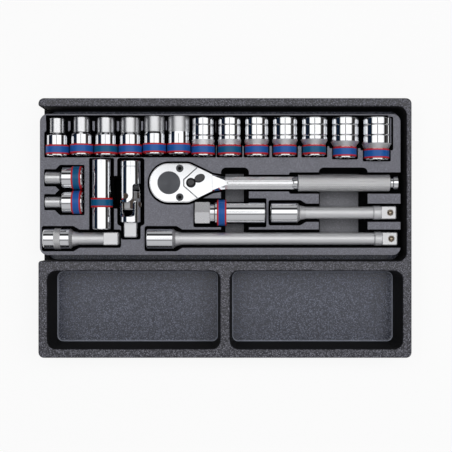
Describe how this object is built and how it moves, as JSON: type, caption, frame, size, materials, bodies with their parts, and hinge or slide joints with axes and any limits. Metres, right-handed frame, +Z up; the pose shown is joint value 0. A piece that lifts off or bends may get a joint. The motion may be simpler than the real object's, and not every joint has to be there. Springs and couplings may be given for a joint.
{
  "type": "socket wrench set",
  "caption": "Square-drive socket wrench set: sockets, extension bars, universal joint and reversible ratchet lying in a shaped insert inside a two-level open tray.",
  "frame": {"origin": "middle of the carrier tray's underside, on the surface that it stands on", "axes": "+X along the row of sockets from the smallest to the largest, +Y from the compartments towards the row, +Z up"},
  "size_m": [0.3716, 0.2586, 0.0499],
  "materials": {
    "carrier_plastic": "pebbled matte",
    "insert_plastic": "fine grained matte",
    "polished_chrome": "polished chrome plate on steel",
    "satin_chrome": "satin chrome plate on steel",
    "dark_steel": "blackened steel",
    "bearing_steel": "polished",
    "sleeve_plastic": "blue with red edges",
    "rubber": "matte"
  },
  "bodies": {
    "carrier": {"carrier_tray": "carrier_plastic"},
    "insert": {"insert_tray": "insert_plastic"},
    "socket_10": {"socket_10mm": "polished_chrome", "sleeve_10mm": "sleeve_plastic"},
    "socket_11": {"socket_11mm": "polished_chrome", "sleeve_11mm": "sleeve_plastic"},
    "socket_12": {"socket_12mm": "polished_chrome", "sleeve_12mm": "sleeve_plastic"},
    "socket_13": {"socket_13mm": "polished_chrome", "sleeve_13mm": "sleeve_plastic"},
    "socket_14": {"socket_14mm": "polished_chrome", "sleeve_14mm": "sleeve_plastic"},
    "socket_15": {"socket_15mm": "polished_chrome", "sleeve_15mm": "sleeve_plastic"},
    "socket_16": {"socket_16mm": "polished_chrome", "sleeve_16mm": "sleeve_plastic"},
    "socket_17": {"socket_17mm": "polished_chrome", "sleeve_17mm": "sleeve_plastic"},
    "socket_18": {"socket_18mm": "polished_chrome", "sleeve_18mm": "sleeve_plastic"},
    "socket_19": {"socket_19mm": "polished_chrome", "sleeve_19mm": "sleeve_plastic"},
    "socket_20": {"socket_20mm": "polished_chrome", "sleeve_20mm": "sleeve_plastic"},
    "socket_21": {"socket_21mm": "polished_chrome", "sleeve_21mm": "sleeve_plastic"},
    "socket_22": {"socket_22mm": "polished_chrome", "sleeve_22mm": "sleeve_plastic"},
    "socket_09": {"socket_09mm": "polished_chrome", "sleeve_09mm": "sleeve_plastic"},
    "socket_08": {"socket_08mm": "polished_chrome", "sleeve_08mm": "sleeve_plastic"},
    "plug_socket_14": {"plug_socket_14mm": "polished_chrome", "plug_sleeve_14mm": "sleeve_plastic", "plug_grip_14mm": "rubber"},
    "plug_socket_16": {"plug_socket_16mm": "polished_chrome", "plug_sleeve_16mm": "sleeve_plastic", "plug_grip_16mm": "rubber"},
    "extension_75": {"extension_75mm": "satin_chrome", "extension_75mm_spring": "bearing_steel"},
    "extension_75_ball": {"extension_75mm_ball": "bearing_steel"},
    "extension_125": {"extension_125mm": "satin_chrome", "extension_125mm_spring": "bearing_steel"},
    "extension_125_ball": {"extension_125mm_ball": "bearing_steel"},
    "extension_250": {"extension_250mm": "satin_chrome", "extension_250mm_spring": "bearing_steel"},
    "extension_250_ball": {"extension_250mm_ball": "bearing_steel"},
    "universal_joint": {"joint_socket_yoke": "polished_chrome"},
    "joint_cross": {"joint_cross_and_pins": "dark_steel"},
    "joint_drive_end": {"joint_drive_yoke": "polished_chrome", "joint_spring": "bearing_steel"},
    "joint_ball": {"joint_ball": "bearing_steel"},
    "ratchet": {"ratchet_body": "polished_chrome", "ratchet_cover": "polished_chrome", "ratchet_cover_screws": "dark_steel"},
    "ratchet_gear": {"ratchet_drive_gear": "dark_steel", "ratchet_spring": "bearing_steel"},
    "ratchet_ball": {"ratchet_ball": "bearing_steel"},
    "ratchet_lever": {"ratchet_reversing_lever": "dark_steel"},
    "ratchet_pawl": {"ratchet_pawl": "dark_steel"}
  },
  "joints": [
    {"name": "insert_lift", "type": "slide", "parent": "carrier", "child": "insert", "axis": [0, 0, 1], "range_m": [0, 0.07]},
    {"name": "socket_10_lift", "type": "slide", "parent": "insert", "child": "socket_10", "axis": [0, 0, 1], "range_m": [0, 0.06]},
    {"name": "socket_11_lift", "type": "slide", "parent": "insert", "child": "socket_11", "axis": [0, 0, 1], "range_m": [0, 0.06]},
    {"name": "socket_12_lift", "type": "slide", "parent": "insert", "child": "socket_12", "axis": [0, 0, 1], "range_m": [0, 0.06]},
    {"name": "socket_13_lift", "type": "slide", "parent": "insert", "child": "socket_13", "axis": [0, 0, 1], "range_m": [0, 0.06]},
    {"name": "socket_14_lift", "type": "slide", "parent": "insert", "child": "socket_14", "axis": [0, 0, 1], "range_m": [0, 0.06]},
    {"name": "socket_15_lift", "type": "slide", "parent": "insert", "child": "socket_15", "axis": [0, 0, 1], "range_m": [0, 0.06]},
    {"name": "socket_16_lift", "type": "slide", "parent": "insert", "child": "socket_16", "axis": [0, 0, 1], "range_m": [0, 0.06]},
    {"name": "socket_17_lift", "type": "slide", "parent": "insert", "child": "socket_17", "axis": [0, 0, 1], "range_m": [0, 0.06]},
    {"name": "socket_18_lift", "type": "slide", "parent": "insert", "child": "socket_18", "axis": [0, 0, 1], "range_m": [0, 0.06]},
    {"name": "socket_19_lift", "type": "slide", "parent": "insert", "child": "socket_19", "axis": [0, 0, 1], "range_m": [0, 0.06]},
    {"name": "socket_20_lift", "type": "slide", "parent": "insert", "child": "socket_20", "axis": [0, 0, 1], "range_m": [0, 0.06]},
    {"name": "socket_21_lift", "type": "slide", "parent": "insert", "child": "socket_21", "axis": [0, 0, 1], "range_m": [0, 0.06]},
    {"name": "socket_22_lift", "type": "slide", "parent": "insert", "child": "socket_22", "axis": [0, 0, 1], "range_m": [0, 0.06]},
    {"name": "socket_09_lift", "type": "slide", "parent": "insert", "child": "socket_09", "axis": [0, 0, 1], "range_m": [0, 0.06]},
    {"name": "socket_08_lift", "type": "slide", "parent": "insert", "child": "socket_08", "axis": [0, 0, 1], "range_m": [0, 0.06]},
    {"name": "plug_socket_14_lift", "type": "slide", "parent": "insert", "child": "plug_socket_14", "axis": [0, 0, 1], "range_m": [0, 0.06]},
    {"name": "plug_socket_16_lift", "type": "slide", "parent": "insert", "child": "plug_socket_16", "axis": [0, 0, 1], "range_m": [0, 0.06]},
    {"name": "extension_75_lift", "type": "slide", "parent": "insert", "child": "extension_75", "axis": [0, 0, 1], "range_m": [0, 0.06]},
    {"name": "extension_75_ball_press", "type": "slide", "parent": "extension_75", "child": "extension_75_ball", "axis": [0, 1, 0], "range_m": [0, 0.00085], "stiffness_N_per_m": 300, "springref_m": -0.001, "deforming": ["extension_75mm_spring"]},
    {"name": "extension_125_lift", "type": "slide", "parent": "insert", "child": "extension_125", "axis": [0, 0, 1], "range_m": [0, 0.06]},
    {"name": "extension_125_ball_press", "type": "slide", "parent": "extension_125", "child": "extension_125_ball", "axis": [0, 0, -1], "range_m": [0, 0.00085], "stiffness_N_per_m": 300, "springref_m": -0.001, "deforming": ["extension_125mm_spring"]},
    {"name": "extension_250_lift", "type": "slide", "parent": "insert", "child": "extension_250", "axis": [0, 0, 1], "range_m": [0, 0.06]},
    {"name": "extension_250_ball_press", "type": "slide", "parent": "extension_250", "child": "extension_250_ball", "axis": [0, 0, -1], "range_m": [0, 0.00085], "stiffness_N_per_m": 300, "springref_m": -0.001, "deforming": ["extension_250mm_spring"]},
    {"name": "universal_joint_lift", "type": "slide", "parent": "insert", "child": "universal_joint", "axis": [0, 0, 1], "range_m": [0, 0.06]},
    {"name": "joint_side_swing", "type": "hinge", "parent": "universal_joint", "child": "joint_cross", "pos_m": [-0.0942, 0.03177, 0.035], "axis": [-0.4067, 0, 0.9135], "range_deg": [-3, 3]},
    {"name": "joint_up_swing", "type": "hinge", "parent": "joint_cross", "child": "joint_drive_end", "pos_m": [-0.0942, 0.02337, 0.035], "axis": [-0.9135, 0, -0.4067], "range_deg": [0, 40]},
    {"name": "joint_ball_press", "type": "slide", "parent": "joint_drive_end", "child": "joint_ball", "axis": [-1, 0, 0], "range_m": [0, 0.00085], "stiffness_N_per_m": 300, "springref_m": -0.001, "deforming": ["joint_spring"]},
    {"name": "ratchet_lift", "type": "slide", "parent": "insert", "child": "ratchet", "axis": [0, 0, 1], "range_m": [0, 0.06]},
    {"name": "ratchet_gear_turn", "type": "hinge", "parent": "ratchet", "child": "ratchet_gear", "pos_m": [-0.05575, 0.04497, 0.035], "axis": [0, 0, 1], "continuous": true},
    {"name": "ratchet_ball_press", "type": "slide", "parent": "ratchet_gear", "child": "ratchet_ball", "axis": [-1, 0, 0], "range_m": [0, 0.00085], "stiffness_N_per_m": 300, "springref_m": -0.001, "deforming": ["ratchet_spring"]},
    {"name": "ratchet_lever_flip", "type": "hinge", "parent": "ratchet", "child": "ratchet_lever", "pos_m": [-0.03385, 0.04497, 0.035], "axis": [0, 0, 1], "range_deg": [-54, 0]},
    {"name": "ratchet_pawl_rock", "type": "hinge", "parent": "ratchet", "child": "ratchet_pawl", "pos_m": [-0.03385, 0.04497, 0.035], "axis": [0, 0, 1], "range_deg": [-9.2, 0]}
  ],
  "couplings": [
    {"joint": "ratchet_pawl_rock", "follows": "ratchet_lever_flip", "ratio": 0.17037}
  ]
}
